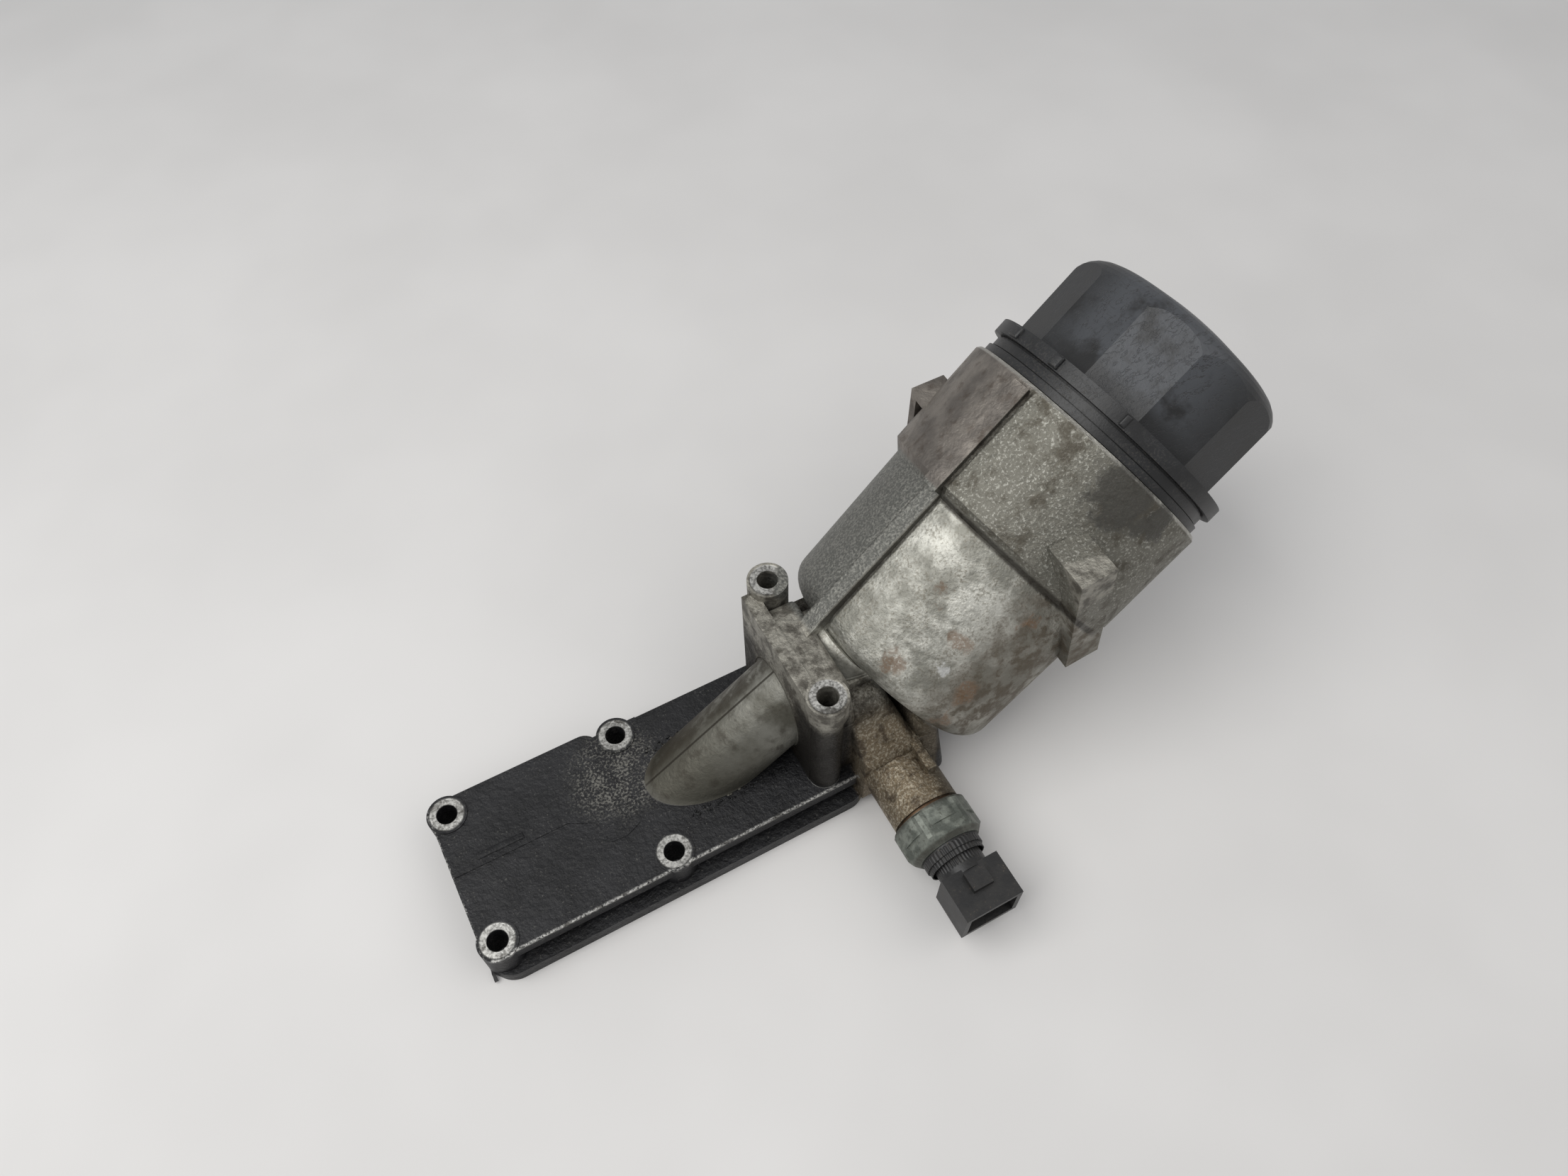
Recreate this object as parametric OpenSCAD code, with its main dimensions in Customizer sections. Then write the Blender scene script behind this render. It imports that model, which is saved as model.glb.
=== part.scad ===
// Oil filter housing: a long bolted flange, an inclined filter bowl, a screw cap and a pressure sensor.
// The flange face is the plane z = 0, and the origin is the centre of its four low bolt holes.

/* [Flange] */
// Distance between the low bolt holes along the flange
bolt_pitch_x = 59; // [50:1:70]
// Distance between the low bolt holes across the flange
bolt_pitch_y = 46; // [42:1:50]
// Diameter of the bolt holes
bolt_hole_d = 6.6; // [6:0.1:7]
// Height of the deck above the flange face
deck_h = 16; // [14:1:20]
// Thickness of the rim that seals against the engine
rim_t = 5.5; // [4:0.5:7]
// Thickness of the deck plate
deck_t = 5; // [4:0.5:6]
// Distance from the bolt holes to the edge of the deck
edge_m = 5.5; // [5:0.5:7]
// How far the rim stands out past the deck
rim_out = 3.1; // [2:0.1:4]
// Length of the flange from the first bolt holes to its hidden end
flange_l = 127; // [120:1:140]
// Diameter of the bolt bosses
boss_d = 13; // [12:0.5:14]

/* [Tall bosses] */
// Place of the far tall boss along the flange
far_boss_x = 87.8; // [84:0.2:90]
// Place of the near tall boss along the flange
near_boss_x = 84.1; // [82:0.2:86]
// Distance of the tall bosses from the middle
tall_boss_y = 22.2; // [20:0.2:24]
// Height of the tall bosses
tall_boss_h = 69; // [64:1:72]

/* [Duct] */
// Radius of the half-round duct
duct_r = 14; // [12:0.5:16]
// Bore of the duct
duct_bore_d = 17; // [12:0.5:20]
// Angle of the duct
duct_tilt = 36; // [32:1:40]
// Place where the duct's middle line meets the deck
duct_x = 54; // [50:1:58]

/* [Bowl] */
// Angle of the bowl above the flange face
bowl_tilt = 34.3; // [30:0.1:40]
// Turn of the bowl away from the flange's long side
bowl_turn = 8; // [4:0.5:10]
// Middle of the bowl's rim, along the flange
rim_x = 195.9; // [190:0.1:200]
// Middle of the bowl's rim, across the flange
rim_y = 11; // [8:0.5:14]
// Middle of the bowl's rim, above the flange face
rim_z = 84.9; // [84.9:0.1:90]
// Outer radius of the bowl at its rim
bowl_r = 45.5; // [45:0.5:48]
// Outer radius of the lower bowl under its step
low_r = 41.8; // [41:0.2:42.6]
// Outer radius of the lower bowl at its bottom
bottom_r = 40.6; // [39:0.2:41]
// Distance from the rim to the step
step_s = 39; // [34:1:44]
// Depth of the bowl outside
bowl_l = 96; // [92:1:96]
// Rounding of the bowl's bottom corner
bottom_round = 8; // [6:0.5:10]
// Bore of the bowl at its mouth
mouth_d = 77; // [76:0.5:78]
// Depth of the mouth bore
mouth_l = 16; // [15:0.5:20]
// Bore of the bowl below its mouth
bore_d = 73; // [70:0.5:74]
// Thickness of the bowl's floor
floor_t = 6; // [5:0.5:8]

/* [Cap] */
// Distance across the flats of the cap
cap_af = 76; // [74:0.5:77]
// Number of flats
cap_flats = 12; // [12:1:12]
// Outer radius of the cap's wide flange
cap_flange_r = 44.7; // [43:0.1:45.5]
// Height of the cap above the bowl's rim
cap_h = 48; // [46:0.5:52]
// Wall of the cap
cap_wall = 3; // [2.5:0.5:3.5]
// Gap between the cap's spigot and the mouth bore
spigot_gap = 0.3; // [0.3:0.05:0.5]
// Thickness of the cap's O-ring
cap_ring_d = 3.2; // [3:0.2:3.6]

/* [Filter element] */
// Outer diameter of the pleated paper
paper_d = 63; // [58:1:64]
// Length of the pleated paper
paper_l = 96; // [90:1:98]
// Number of pleats
pleats = 36; // [24:1:44]
// Outer diameter of the element's core tube
core_d = 30; // [28:0.5:32]
// Gap under the element, above the bowl's floor
element_gap = 6; // [5:0.5:8]

/* [Valves] */
// Outer diameter of the cap's stem
stem_d = 18; // [17:0.5:19]
// Wall of the stem
stem_wall = 2; // [1.5:0.1:2.2]
// Travel of the bypass valve
bypass_travel = 4; // [3:0.5:5]
// Outer diameter of the outlet tube in the floor
outlet_d = 18; // [16:0.5:19]

/* [Sensor] */
// Place of the sensor along the flange
sensor_x = 105.5; // [104:0.5:107]
// Height of the sensor's middle line
sensor_z = 18; // [17:0.5:20]
// Distance of the stub's face from the middle
stub_y = 51; // [48:0.5:54]
// Diameter of the stub
stub_d = 23; // [22:0.5:24]
// Distance across the flats of the sensor's hexagon
hex_af = 24; // [22:0.5:25]
// Diameter of the sensor's shank
shank_d = 12; // [10:0.5:14]

/* [Hidden] */
$fn = 96;
eps = 0.01;
bolt_x = bolt_pitch_x / 2;
bolt_y = bolt_pitch_y / 2;
left_x = -bolt_x - edge_m;
right_x = -bolt_x + flange_l;
near_y = -bolt_y - edge_m;
rim_y_out = -near_y + rim_out;
web_in = 4;
narrow_y = bolt_y + 1.5;
narrow_x = bolt_x - 6;
bottom_s = -bowl_l;
floor_s = bottom_s + floor_t;
top_r = bowl_r - 0.4;
flat_r = cap_af / 2 / cos(180 / cap_flats);
mouth_r = mouth_d / 2;
spigot_r = mouth_r - spigot_gap;
spigot_l = 14;
spigot_wall = 5;
ring_s = -5;
ring_c_r = mouth_r - 0.06 - cap_ring_d / 2;
dome_s = 11.2;
element_s = floor_s + element_gap;
end_cap_t = 2;
paper_s = element_s + end_cap_t;
paper_top = paper_s + paper_l;
core_r = core_d / 2;
stem_r = stem_d / 2;
stem_s = paper_top - 22;
seat_t = 3;
poppet_r = 3.6;
spring_l = 12;
washer_t = 1.5;
hex_t = 12;
pocket_h = 9;
inlet_end_x = duct_x + 4;
outlet_x = 70;
outlet_tilt = 29;
seal_w = 2.2;
seal_t = 1.8;

// Puts its children on the bowl's middle line, with z towards the cap
module on_bowl() {
    translate([rim_x, rim_y, rim_z]) rotate([0, 90 - bowl_tilt, bowl_turn]) children();
}

// Puts its children on the sensor's middle line, with z pointing out of the stub
module on_sensor() {
    translate([sensor_x, 0, sensor_z]) rotate([90, 0, 0]) children();
}

// Block with round upright corners
module rounded_block(x0, x1, y0, y1, z0, z1, r) {
    translate([x0 + r, y0, z0]) cube([x1 - x0 - 2 * r, y1 - y0, z1 - z0]);
    translate([x0, y0 + r, z0]) cube([x1 - x0, y1 - y0 - 2 * r, z1 - z0]);
    for (x = [x0 + r, x1 - r], y = [y0 + r, y1 - r])
        translate([x, y, z0]) cylinder(r = r, h = z1 - z0);
}

// Ring around the bowl's middle line, from s0 to s1
module ring(ro, ri, s0, s1) {
    rotate_extrude() translate([ri, s0]) square([ro - ri, s1 - s0]);
}

// Places of the four low bolts
module low_bolts() {
    for (x = [-bolt_x, bolt_x], y = [-bolt_y, bolt_y]) translate([x, y, 0]) children();
}

// Places of the two tall bolts
module tall_bolts() {
    translate([far_boss_x, tall_boss_y, 0]) children();
    translate([near_boss_x, -tall_boss_y, 0]) children();
}

// Long flange: a wide rim, a set-back web and a deck plate over it
module flange_body() {
    rounded_block(left_x, right_x, -rim_y_out, rim_y_out, 0, rim_t, 8);
    rounded_block(left_x + web_in, right_x - web_in, near_y + web_in, narrow_y - web_in, 0, deck_h - eps, 4);
    rounded_block(left_x, narrow_x, near_y, -near_y, deck_h - deck_t, deck_h, edge_m);
    rounded_block(left_x, right_x, near_y, narrow_y, deck_h - deck_t, deck_h, edge_m);
    low_bolts() cylinder(d = boss_d, h = deck_h + 0.4);
    translate([bolt_x, 0, deck_h - deck_t]) cube([boss_d / 2 + 2, bolt_y + 3.4, deck_t]);
}

// Tall bolt columns with the upright wall between them and their ribs
module tall_boss_body() {
    wall_t = 5;
    wall_x = near_boss_x - boss_d / 2;
    translate([far_boss_x, tall_boss_y, 0]) cylinder(d = boss_d, h = tall_boss_h);
    translate([near_boss_x, -tall_boss_y, 0]) cylinder(d = boss_d - 2.4, h = tall_boss_h);
    translate([near_boss_x, -tall_boss_y, tall_boss_h - 9]) cylinder(d = boss_d, h = 9);
    translate([wall_x + 1, -tall_boss_y, deck_h - 4]) cube([wall_t, 2 * tall_boss_y, tall_boss_h - deck_h + 1]);
    translate([near_boss_x, -tall_boss_y - 1.5, deck_h - 4]) cube([16, 3, 34]);
    translate([near_boss_x - 2, -tall_boss_y, deck_h - 4]) cube([4, 10, tall_boss_h - deck_h - 6]);
    translate([far_boss_x - 4, tall_boss_y - 14, deck_h - 4]) cube([18, 16, 34]);
}

// Half-round duct that climbs from the deck into the neck
module duct_body() {
    translate([duct_x, 0, deck_h]) rotate([0, 90 - duct_tilt, 0])
        translate([0, 0, -24]) cylinder(r = duct_r, h = 86);
}

// Neck block that joins the flange to the bottom of the bowl
module neck_body() {
    translate([80, -15, 4]) cube([26, 30, 50]);
    translate([80, -15, 8]) cube([40, 30, 28]);
    translate([sensor_x - 12, -32, 5]) cube([24, 44, 26]);
}

// Bowl outside, with its step and its round bottom corner
module bowl_outside() {
    steps = 8;
    rotate_extrude() polygon(concat(
        [[0, bottom_s]],
        [for (i = [0:steps]) let (t = -90 + 90 * i / steps)
            [bottom_r - bottom_round + bottom_round * cos(t), bottom_s + bottom_round + bottom_round * sin(t)]],
        [[low_r, -step_s - 2.5], [top_r, -step_s + 1], [bowl_r, -1], [bowl_r - 0.8, 0], [0, 0]]));
}

// Long raised rib and the raised far half that the die's parting leaves
module bowl_ribs() {
    rib_w = 6;
    rotate([0, 0, -6]) {
        translate([-low_r - 1.4, -rib_w / 2 + 3, bottom_s - 4]) cube([6, rib_w, bowl_l - step_s + 4]);
        translate([-bowl_r - 1.2, -rib_w / 2 + 3, -step_s - 2]) cube([6, rib_w, step_s]);
    }
}

// Square lugs on the two sides of the bowl
module side_lugs() {
    lug_w = 12;
    translate([163, -40, 75]) rotate([0, -7, 0]) translate([-lug_w / 2, 0, -25]) cube([lug_w, 16, 49]);
    difference() {
        translate([155, 34, 56]) cube([lug_w, 16, 38]);
        translate([155 - eps, 38, 50]) cube([lug_w - 3, 9, 41]);
    }
}

// Stub that the sensor screws into
module sensor_stub() {
    on_sensor() cylinder(d = stub_d, h = stub_y);
    translate([sensor_x + 4, -stub_y + 8, sensor_z + 4]) cube([3, stub_y - 20, 10]);
}

// Round seal groove in the flange face
module seal_path(w, h) {
    difference() {
        rounded_block(left_x + 9 - w / 2, right_x - 14 + w / 2, -15 - w / 2, 15 + w / 2, 0, h, 5 + w / 2);
        translate([0, 0, -1])
            rounded_block(left_x + 9 + w / 2, right_x - 14 - w / 2, -15 + w / 2, 15 - w / 2, 0, h + 2, 5 - w / 2);
    }
}

// Casting with its bores
module housing() {
    color("darkgray") difference() {
        union() {
            flange_body();
            tall_boss_body();
            duct_body();
            neck_body();
            sensor_stub();
            side_lugs();
            on_bowl() {
                bowl_outside();
                bowl_ribs();
            }
        }
        translate([-100, -100, -60]) cube([400, 200, 60]);
        low_bolts() translate([0, 0, -1]) cylinder(d = bolt_hole_d, h = deck_h + 3);
        tall_bolts() translate([0, 0, -1]) cylinder(d = bolt_hole_d, h = tall_boss_h + 30);
        on_bowl() {
            translate([0, 0, floor_s]) cylinder(d = bore_d, h = bowl_l);
            translate([0, 0, -mouth_l]) cylinder(d = mouth_d, h = mouth_l + 1);
            translate([0, 0, bottom_s + 1.5]) cylinder(d = outlet_d - 4, h = floor_t);
        }
        translate([duct_x, 0, deck_h]) rotate([0, 90 - duct_tilt, 0])
            translate([0, 0, -18]) cylinder(d = duct_bore_d, h = 92);
        on_sensor() translate([0, 0, 10]) cylinder(d = shank_d, h = stub_y);
        rounded_block(left_x + 13, 18, -10, 10, -1, pocket_h, 4);
        rounded_block(26, inlet_end_x, -10, 10, -1, pocket_h, 4);
        rounded_block(inlet_end_x + 6, right_x - 20, -10, 10, -1, pocket_h, 4);
        translate([outlet_x, 0, 5]) rotate([0, 90 - outlet_tilt, 0]) cylinder(d = outlet_d - 7, h = 60);
        translate([0, 0, -0.05]) seal_path(seal_w + 0.6, seal_t + 0.35);
    }
}

// Rubber seal laid in the groove of the flange face
module flange_seal() {
    color("black") translate([0, 0, 0.1]) seal_path(seal_w, seal_t);
}

// Outline of the cap's dome
function dome_outline(grow) = let (shoulder = 9, crown = 5.5, steps = 6)
    concat([[0, dome_s - 3]], [[flat_r + grow, dome_s - 3]],
        [for (i = [0:steps]) let (t = 75 * i / steps)
            [flat_r + grow - shoulder + shoulder * cos(t), cap_h - crown - shoulder * 0.85 + shoulder * sin(t) + grow]],
        [for (i = [1:steps]) let (k = 1 - i / steps, r = (flat_r + grow - shoulder * 0.75) * k)
            [r, cap_h + grow - crown * k * k * 0.85]]);

// Screw cap: flats and dome, its flanges and the spigot that goes into the mouth
module cap() {
    color("dimgray") on_bowl() difference() {
        union() {
            intersection() {
                rotate_extrude() polygon(dome_outline(0.1));
                rotate([0, 0, 1.8]) cylinder(r = flat_r, h = 2 * cap_h, $fn = 12);
            }
            translate([0, 0, cap_h - 1]) cylinder(r = 4.8, h = 2);
            ring(43.3, 30, 0.3, 2.7);
            ring(41.8, 30, 2.6, 3.2);
            ring(42.4, 30, 3.1, 6);
            ring(41.5, 30, 5.9, 6.8);
            ring(cap_flange_r, 30, 6.7, dome_s);
            ring(spigot_r, 30, -spigot_l, 0.4);
        }
        rotate_extrude() polygon(dome_outline(-cap_wall));
        translate([0, 0, -spigot_l - 1]) cylinder(r = spigot_r - spigot_wall, h = spigot_l + dome_s);
        rotate_extrude() translate([ring_c_r - cap_ring_d / 2 - 0.05, ring_s - cap_ring_d / 2 - 0.1])
            square([cap_ring_d * 2, cap_ring_d + 0.2]);
    }
}

// O-ring of the cap
module cap_o_ring() {
    color("black") on_bowl() rotate_extrude() translate([ring_c_r, ring_s]) circle(d = cap_ring_d, $fn = 24);
}

// Hollow stem that hangs from the cap into the element
module cap_stem() {
    color("dimgray") on_bowl() difference() {
        union() {
            translate([0, 0, stem_s]) cylinder(r = stem_r, h = cap_h - cap_wall - 0.7 - stem_s);
            translate([0, 0, cap_h - cap_wall - 7.2]) cylinder(r = stem_r + 3, h = 6);
        }
        translate([0, 0, stem_s - 1]) cylinder(r = stem_r - stem_wall, h = cap_h - cap_wall - 10 - stem_s);
        translate([0, 0, paper_top + 7]) rotate([90, 0, 0]) cylinder(d = 8, h = 60, center = true);
        rotate_extrude() translate([stem_r - 1, stem_s + 6]) square([3, 2.2]);
    }
}

// O-ring between the stem and the element
module stem_o_ring() {
    color("black") on_bowl() ring(stem_r + 0.55, stem_r - 0.95, stem_s + 6.1, stem_s + 8.1);
}

// Seat ring of the bypass valve, pressed into the stem
module bypass_seat() {
    color("gold") on_bowl() ring(stem_r - stem_wall - 0.02, poppet_r - 0.9, stem_s + 0.5, stem_s + 0.5 + seat_t);
}

// Poppet of the bypass valve
module bypass_poppet() {
    seat_top = stem_s + 0.5 + seat_t + 0.05;
    color("silver") on_bowl() {
        translate([0, 0, seat_top]) cylinder(r = poppet_r + 1.2, h = 2);
        translate([0, 0, seat_top + 1.9]) cylinder(r = poppet_r - 1.6, h = 7);
    }
}

// Spring of the bypass valve, drawn as rings of its wire
module bypass_spring() {
    wire = 1;
    turns = 6;
    base = stem_s + 0.5 + seat_t + 2.15;
    end = cap_h - cap_wall - 11.2;
    step = (end - base - wire) / turns;
    color("silver") on_bowl() union() {
        for (i = [0:turns]) translate([0, 0, base + wire / 2 + i * step])
            rotate_extrude() translate([poppet_r + 0.2, 0]) circle(d = wire, $fn = 16);
        for (a = [0, 180]) rotate([0, 0, a]) translate([poppet_r - 0.1, -0.3, base + wire / 2])
            cube([0.6, 0.6, end - base - wire]);
    }
}

// Pleated paper of the element
module filter_paper() {
    outer = paper_d / 2;
    inner = core_r + 1;
    color("khaki") on_bowl() translate([0, 0, paper_s]) linear_extrude(height = paper_l) difference() {
        polygon([for (i = [0:2 * pleats - 1]) let (t = 180 * i / pleats, r = i % 2 == 0 ? outer : inner + 5)
            [r * cos(t), r * sin(t)]]);
        circle(r = inner);
    }
}

// Perforated core tube of the element
module filter_core() {
    color("darkslategray") on_bowl() difference() {
        ring(core_r + 0.95, core_r - 1, paper_s + 0.02, paper_top - 0.02);
        for (s = [paper_s + 8:14:paper_top - 8], a = [0:60:120]) translate([0, 0, s])
            rotate([90, 0, a]) cylinder(d = 8, h = 2 * core_d, center = true, $fn = 24);
    }
}

// Upper end cap of the element
module filter_top_cap() {
    color("black") on_bowl() {
        ring(paper_d / 2 + 0.5, stem_r + 3, paper_top, paper_top + end_cap_t);
        ring(stem_r + 3.1, stem_r + 0.6, paper_top - 20, paper_top + end_cap_t);
    }
}

// Lower end cap of the element
module filter_bottom_cap() {
    color("black") on_bowl() {
        ring(paper_d / 2 + 0.5, outlet_d / 2 + 2.4, element_s, paper_s);
        ring(core_r - 1.2, outlet_d / 2 + 2.4, paper_s - 0.1, paper_s + 6);
    }
}

// Seal between the lower end cap and the outlet tube
module filter_bottom_seal() {
    color("dimgray") on_bowl() ring(outlet_d / 2 + 2.36, outlet_d / 2 + 0.06, element_s + 0.5, paper_s + 3);
}

// Outlet tube pressed into the floor of the bowl
module outlet_tube() {
    color("silver") on_bowl() {
        ring(outlet_d / 2, outlet_d / 2 - 2.1, floor_s, paper_s + 12);
        ring(outlet_d / 2 - 2.04, outlet_d / 2 - 3.5, floor_s - 4, paper_s + 12);
        ring(outlet_d / 2 + 3, outlet_d / 2 - 2.1, floor_s, floor_s + 1.5);
    }
}

// Rubber membrane over the inlet that keeps the bowl full
module anti_drain_membrane() {
    color("black") on_bowl() ring(bore_d / 2 - 1.5, outlet_d / 2 + 3.1, floor_s, floor_s + 1.5);
}

// Metal body of the sensor with its hexagon and shank
module sensor_body() {
    color("lightslategray") on_sensor() difference() {
        union() {
            translate([0, 0, stub_y + washer_t]) intersection() {
                cylinder(d = hex_af / cos(30), h = hex_t, $fn = 6);
                rotate_extrude() polygon([[0, 0], [12.6, 0], [13.4, 0.8], [13.4, hex_t - 3], [10.6, hex_t], [0, hex_t]]);
            }
            translate([0, 0, stub_y + washer_t]) cylinder(d = hex_af + 1.6, h = 6);
            translate([0, 0, stub_y - 14]) cylinder(d = shank_d - 0.04, h = 16);
        }
        translate([0, 0, stub_y - 15]) cylinder(d = 4, h = 9);
    }
}

// Sealing washer of the sensor
module sensor_washer() {
    color("peru") on_sensor() ring(10.4, shank_d / 2 + 0.1, stub_y, stub_y + washer_t);
}

// Moulded plug socket of the sensor
module sensor_connector() {
    start = stub_y + washer_t + hex_t;
    box_s = start + 9;
    color("black") on_sensor() difference() {
        union() {
            translate([0, 0, start]) cylinder(d = 20, h = 3);
            translate([0, 0, start + 2.9]) cylinder(d = 16, h = 7);
            translate([-10, -7.5, box_s]) cube([20, 15, 14.5]);
            translate([-3.5, 7, box_s + 2]) cube([7, 2.6, 6]);
        }
        translate([-8.2, -5.7, box_s + 3]) cube([16.4, 11.4, 20]);
    }
}

// Terminals inside the plug socket
module sensor_terminals() {
    start = stub_y + washer_t + hex_t + 12;
    color("gold") on_sensor() for (x = [-4.5, 0, 4.5])
        translate([x - 0.4, -0.8, start]) cube([0.8, 1.6, 8]);
}

housing();
flange_seal();
cap();
cap_o_ring();
cap_stem();
stem_o_ring();
bypass_seat();
bypass_poppet();
bypass_spring();
filter_paper();
filter_core();
filter_top_cap();
filter_bottom_cap();
filter_bottom_seal();
outlet_tube();
anti_drain_membrane();
sensor_body();
sensor_washer();
sensor_connector();
sensor_terminals();
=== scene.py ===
"""Looks of the oil filter housing: cast metal, oil and rust, the moulded cap, the sensor and its plug."""
import math

import bpy
from mathutils import Matrix, Vector


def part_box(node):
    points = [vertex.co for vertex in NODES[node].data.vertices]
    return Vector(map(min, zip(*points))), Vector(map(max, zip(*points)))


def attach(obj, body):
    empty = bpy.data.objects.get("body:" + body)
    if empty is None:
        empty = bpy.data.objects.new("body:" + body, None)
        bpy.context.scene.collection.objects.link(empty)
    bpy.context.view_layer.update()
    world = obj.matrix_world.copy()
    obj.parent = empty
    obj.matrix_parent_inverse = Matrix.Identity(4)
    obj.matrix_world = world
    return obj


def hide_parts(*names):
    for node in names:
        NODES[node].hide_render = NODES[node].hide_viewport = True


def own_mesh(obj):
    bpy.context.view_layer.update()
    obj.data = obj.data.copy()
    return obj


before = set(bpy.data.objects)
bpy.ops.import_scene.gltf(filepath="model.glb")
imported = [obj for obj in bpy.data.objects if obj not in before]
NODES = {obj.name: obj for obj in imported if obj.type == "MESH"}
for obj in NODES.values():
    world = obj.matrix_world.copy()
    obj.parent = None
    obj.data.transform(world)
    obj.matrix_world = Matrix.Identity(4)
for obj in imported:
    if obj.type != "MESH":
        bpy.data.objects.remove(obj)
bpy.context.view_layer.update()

# Bowl's middle line, in millimetres of the part frame
BOWL_TILT = math.radians(34.3)
BOWL_TURN = math.radians(8)
RIM = (195.9, 11.0, 84.9)
ALONG = (math.cos(BOWL_TILT) * math.cos(BOWL_TURN), math.cos(BOWL_TILT) * math.sin(BOWL_TURN), math.sin(BOWL_TILT))
NEAR = (math.sin(BOWL_TURN), -math.cos(BOWL_TURN), 0.0)
RAISED = (-math.sin(BOWL_TILT) * math.cos(BOWL_TURN), -math.sin(BOWL_TILT) * math.sin(BOWL_TURN), math.cos(BOWL_TILT))
DUCT_TILT = math.radians(36)
DUCT_X = 54.0
DECK = 16.0
LOW_BOLTS = [(x, y) for x in (-29.5, 29.5) for y in (-23.0, 23.0)]
TALL_BOLTS = [(87.8, 22.2), (84.1, -22.2)]
SENSOR_X = 105.5
SENSOR_Z = 18.0

# Camera solved from the photograph's bolt holes, rim and cap
CAMERA_PLACE = (-0.0007, -0.1567, 0.3652)
CAMERA_RIGHT = (0.8798, -0.4753, -0.0068)
CAMERA_UP = (0.3995, 0.7315, 0.5525)
CAMERA_FORWARD = (0.2576, 0.4889, -0.8334)
LENS = 26.52
ROOM_TINT = (0.93, 0.96, 1.0, 1.0)
BACKDROP_TINT = (0.56, 0.565, 0.57, 1.0)


def tone(red, green, blue):
    """A colour from the 0 to 255 values seen in a picture."""
    def linear(value):
        c = value / 255
        return c / 12.92 if c <= 0.04045 else ((c + 0.055) / 1.055) ** 2.4
    return (linear(red), linear(green), linear(blue), 1.0)


class Value:
    """A number that a material works out with Math nodes, written as ordinary arithmetic."""

    def __init__(self, paint, source):
        self.paint = paint
        self.source = source

    def math(self, operation, *terms):
        node = self.paint.node("ShaderNodeMath", {"operation": operation}, *terms)
        return Value(self.paint, node.outputs[0])

    def __add__(self, other):
        return self.math("ADD", self, other)

    def __mul__(self, other):
        return self.math("MULTIPLY", self, other)

    def __sub__(self, other):
        return self.math("SUBTRACT", self, other)

    def __truediv__(self, other):
        return self.math("DIVIDE", self, other)

    def __rsub__(self, other):
        return self.math("SUBTRACT", other, self)

    def __rtruediv__(self, other):
        return self.math("DIVIDE", other, self)

    __radd__ = __add__
    __rmul__ = __mul__

    def __neg__(self):
        return self * -1.0

    def power(self, other):
        return self.math("POWER", self, other)

    def size(self):
        return self.math("ABSOLUTE", self)

    def least(self, other):
        return self.math("MINIMUM", self, other)

    def most(self, other):
        return self.math("MAXIMUM", self, other)

    def sine(self):
        return self.math("SINE", self)

    def step(self, low, high):
        """0 below low and 1 above high, with a soft change between them."""
        settings = {"interpolation_type": "SMOOTHSTEP"}
        node = self.paint.node("ShaderNodeMapRange", settings, self, low, high, 0.0, 1.0)
        return Value(self.paint, node.outputs[0])

    def band(self, middle, half):
        """1 at the middle value, falling to 0 at half either side."""
        return 1.0 - (self - middle).size().step(half * 0.35, half)


class Tree:
    """Makes and joins the nodes of one material or of the world."""

    def __init__(self, tree):
        self.tree = tree

    def node(self, kind, settings, *inputs, **named):
        """Any node: its settings, its inputs in order, and its inputs by name."""
        made = self.tree.nodes.new(kind)
        for key, value in settings.items():
            setattr(made, key, value)
        pairs = list(zip(made.inputs, inputs)) + [(made.inputs[key], value) for key, value in named.items()]
        for socket, value in pairs:
            self.feed(socket, value)
        return made

    def feed(self, socket, value):
        if isinstance(value, Value):
            self.tree.links.new(value.source, socket)
        elif isinstance(value, bpy.types.NodeSocket):
            self.tree.links.new(value, socket)
        elif value is not None:
            socket.default_value = value


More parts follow.
